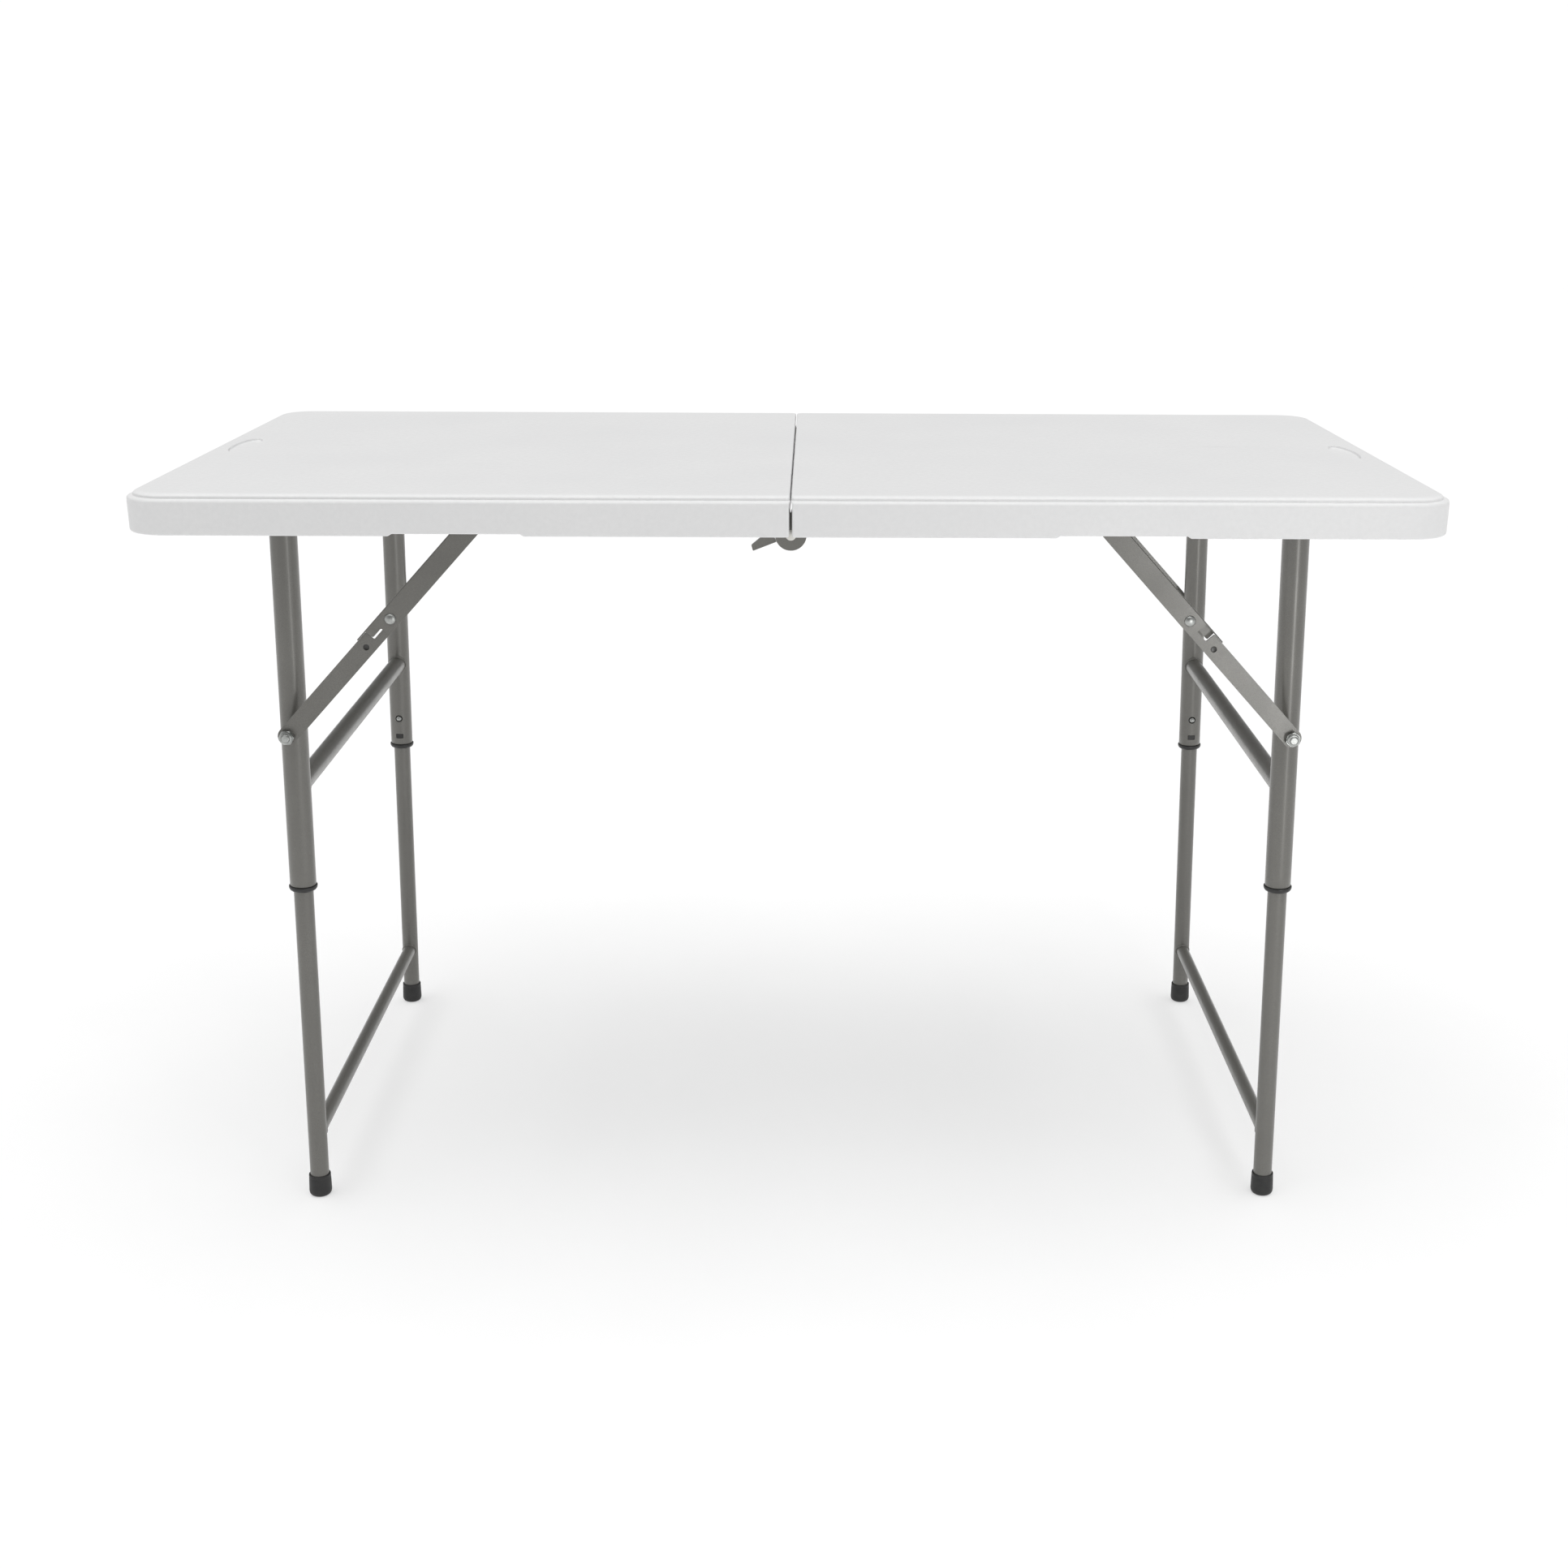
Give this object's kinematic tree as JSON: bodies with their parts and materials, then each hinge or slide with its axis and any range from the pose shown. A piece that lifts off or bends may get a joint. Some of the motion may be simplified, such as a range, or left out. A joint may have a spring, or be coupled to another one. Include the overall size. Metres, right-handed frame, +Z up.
{
  "type": "folding table",
  "caption": "Rectangular fold-in-half table with a white moulded top and grey steel tube legs that fold flat, telescope in height and lock open with jointed braces.",
  "frame": {"origin": "on the floor, under the middle of the open table", "axes": "+X along the table's length across the centre fold, +Y from the front long side to the back one, +Z up"},
  "size_m": [1.22, 0.61, 0.737],
  "materials": {
    "moulded_top": "blow-moulded white polyethylene with a fine moulded texture, slightly mottled",
    "powder_coat": "taupe-grey powder coat, semi-gloss with a fine orange peel",
    "zinc_plate": "bright zinc plate",
    "black_plastic": "satin black moulded plastic",
    "rubber_foot": "matt black rubber",
    "white_nylon": "off-white nylon"
  },
  "bodies": {
    "left_half": {"top_left": "moulded_top", "rail_front_left": "powder_coat", "rail_back_left": "powder_coat", "hinge_pin_front": "white_nylon", "hinge_pin_back": "white_nylon", "latch_pin": "zinc_plate", "brace_pin_front_left": "zinc_plate", "brace_pin_back_left": "zinc_plate"},
    "right_half": {"top_right": "moulded_top", "rail_front_right": "powder_coat", "rail_back_right": "powder_coat", "brace_pin_front_right": "zinc_plate", "brace_pin_back_right": "zinc_plate"},
    "leg_frame_left": {"axle_tube_left": "powder_coat", "upper_crossbar_left": "powder_coat", "outer_leg_front_left": "powder_coat", "bush_front_left": "black_plastic", "brace_stud_front_left": "zinc_plate", "outer_leg_back_left": "powder_coat", "bush_back_left": "black_plastic", "brace_stud_back_left": "zinc_plate"},
    "lower_frame_left": {"lower_crossbar_left": "powder_coat", "inner_leg_front_left": "powder_coat", "foot_front_left": "rubber_foot", "inner_leg_back_left": "powder_coat", "foot_back_left": "rubber_foot"},
    "upper_brace_front_left": {"upper_link_front_left": "powder_coat", "elbow_rivet_front_left": "zinc_plate"},
    "lower_brace_front_left": {"lower_link_front_left": "powder_coat", "lock_nut_front_left": "zinc_plate"},
    "button_front_left": {"snap_button_front_left": "zinc_plate"},
    "upper_brace_back_left": {"upper_link_back_left": "powder_coat", "elbow_rivet_back_left": "zinc_plate"},
    "lower_brace_back_left": {"lower_link_back_left": "powder_coat", "lock_nut_back_left": "zinc_plate"},
    "button_back_left": {"snap_button_back_left": "zinc_plate"},
    "leg_frame_right": {"axle_tube_right": "powder_coat", "upper_crossbar_right": "powder_coat", "outer_leg_front_right": "powder_coat", "bush_front_right": "black_plastic", "brace_stud_front_right": "zinc_plate", "outer_leg_back_right": "powder_coat", "bush_back_right": "black_plastic", "brace_stud_back_right": "zinc_plate"},
    "lower_frame_right": {"lower_crossbar_right": "powder_coat", "inner_leg_front_right": "powder_coat", "foot_front_right": "rubber_foot", "inner_leg_back_right": "powder_coat", "foot_back_right": "rubber_foot"},
    "upper_brace_front_right": {"upper_link_front_right": "powder_coat", "elbow_rivet_front_right": "zinc_plate"},
    "lower_brace_front_right": {"lower_link_front_right": "powder_coat", "lock_nut_front_right": "zinc_plate"},
    "button_front_right": {"snap_button_front_right": "zinc_plate"},
    "upper_brace_back_right": {"upper_link_back_right": "powder_coat", "elbow_rivet_back_right": "zinc_plate"},
    "lower_brace_back_right": {"lower_link_back_right": "powder_coat", "lock_nut_back_right": "zinc_plate"},
    "button_back_right": {"snap_button_back_right": "zinc_plate"},
    "latch": {"latch_lever": "powder_coat"}
  },
  "joints": [
    {"name": "top_fold", "type": "hinge", "parent": "left_half", "child": "right_half", "pos_m": [0, 0, 0.699], "axis": [0, 1, 0], "range_deg": [0, 60]},
    {"name": "leg_fold_left", "type": "hinge", "parent": "left_half", "child": "leg_frame_left", "pos_m": [-0.4747, 0, 0.7145], "axis": [0, -1, 0], "range_deg": [0, 91.23]},
    {"name": "leg_slide_left", "type": "slide", "parent": "leg_frame_left", "child": "lower_frame_left", "axis": [0.0214, 0, 0.9998], "range_m": [0, 0.2541]},
    {"name": "brace_swing_front_left", "type": "hinge", "parent": "left_half", "child": "upper_brace_front_left", "pos_m": [-0.2851, -0.2746, 0.7145], "axis": [0, -1, 0], "range_deg": [-47.7, 0]},
    {"name": "brace_elbow_front_left", "type": "hinge", "parent": "upper_brace_front_left", "child": "lower_brace_front_left", "pos_m": [-0.37436, -0.2746, 0.61669], "axis": [0, -1, 0], "range_deg": [0, 180.1]},
    {"name": "snap_button_front_left", "type": "slide", "parent": "leg_frame_left", "child": "button_front_left", "axis": [0, -1, 0], "range_m": [0, 0.0019], "stiffness_N_per_m": 500, "springref_m": -0.0005},
    {"name": "brace_swing_back_left", "type": "hinge", "parent": "left_half", "child": "upper_brace_back_left", "pos_m": [-0.2851, 0.2746, 0.7145], "axis": [0, -1, 0], "range_deg": [-47.7, 0]},
    {"name": "brace_elbow_back_left", "type": "hinge", "parent": "upper_brace_back_left", "child": "lower_brace_back_left", "pos_m": [-0.37436, 0.2746, 0.61669], "axis": [0, -1, 0], "range_deg": [0, 180.1]},
    {"name": "snap_button_back_left", "type": "slide", "parent": "leg_frame_left", "child": "button_back_left", "axis": [0, 1, 0], "range_m": [0, 0.0019], "stiffness_N_per_m": 500, "springref_m": -0.0005},
    {"name": "leg_fold_right", "type": "hinge", "parent": "right_half", "child": "leg_frame_right", "pos_m": [0.4747, 0, 0.7145], "axis": [0, 1, 0], "range_deg": [0, 91.23]},
    {"name": "leg_slide_right", "type": "slide", "parent": "leg_frame_right", "child": "lower_frame_right", "axis": [-0.0214, 0, 0.9998], "range_m": [0, 0.2541]},
    {"name": "brace_swing_front_right", "type": "hinge", "parent": "right_half", "child": "upper_brace_front_right", "pos_m": [0.2851, -0.2746, 0.7145], "axis": [0, 1, 0], "range_deg": [-47.7, 0]},
    {"name": "brace_elbow_front_right", "type": "hinge", "parent": "upper_brace_front_right", "child": "lower_brace_front_right", "pos_m": [0.37436, -0.2746, 0.61669], "axis": [0, 1, 0], "range_deg": [0, 180.1]},
    {"name": "snap_button_front_right", "type": "slide", "parent": "leg_frame_right", "child": "button_front_right", "axis": [0, -1, 0], "range_m": [0, 0.0019], "stiffness_N_per_m": 500, "springref_m": -0.0005},
    {"name": "brace_swing_back_right", "type": "hinge", "parent": "right_half", "child": "upper_brace_back_right", "pos_m": [0.2851, 0.2746, 0.7145], "axis": [0, 1, 0], "range_deg": [-47.7, 0]},
    {"name": "brace_elbow_back_right", "type": "hinge", "parent": "upper_brace_back_right", "child": "lower_brace_back_right", "pos_m": [0.37436, 0.2746, 0.61669], "axis": [0, 1, 0], "range_deg": [0, 180.1]},
    {"name": "snap_button_back_right", "type": "slide", "parent": "leg_frame_right", "child": "button_back_right", "axis": [0, 1, 0], "range_m": [0, 0.0019], "stiffness_N_per_m": 500, "springref_m": -0.0005},
    {"name": "latch_turn", "type": "hinge", "parent": "left_half", "child": "latch", "pos_m": [-0.03, -0.28495, 0.712], "axis": [0, 1, 0], "range_deg": [0, 25], "stiffness_Nm_per_rad": 0.05, "springref_deg": -17.19}
  ],
  "couplings": [
    {"joint": "leg_slide_left", "follows": "leg_fold_left", "m_per_rad": 0.15953},
    {"joint": "brace_swing_front_left", "follows": "leg_fold_left", "ratio": -0.52196},
    {"joint": "brace_elbow_front_left", "follows": "leg_fold_left", "ratio": 1.9731},
    {"joint": "brace_swing_back_left", "follows": "leg_fold_left", "ratio": -0.52196},
    {"joint": "brace_elbow_back_left", "follows": "leg_fold_left", "ratio": 1.9731},
    {"joint": "leg_slide_right", "follows": "leg_fold_right", "m_per_rad": 0.15953},
    {"joint": "brace_swing_front_right", "follows": "leg_fold_right", "ratio": -0.52196},
    {"joint": "brace_elbow_front_right", "follows": "leg_fold_right", "ratio": 1.9731},
    {"joint": "brace_swing_back_right", "follows": "leg_fold_right", "ratio": -0.52196},
    {"joint": "brace_elbow_back_right", "follows": "leg_fold_right", "ratio": 1.9731}
  ]
}
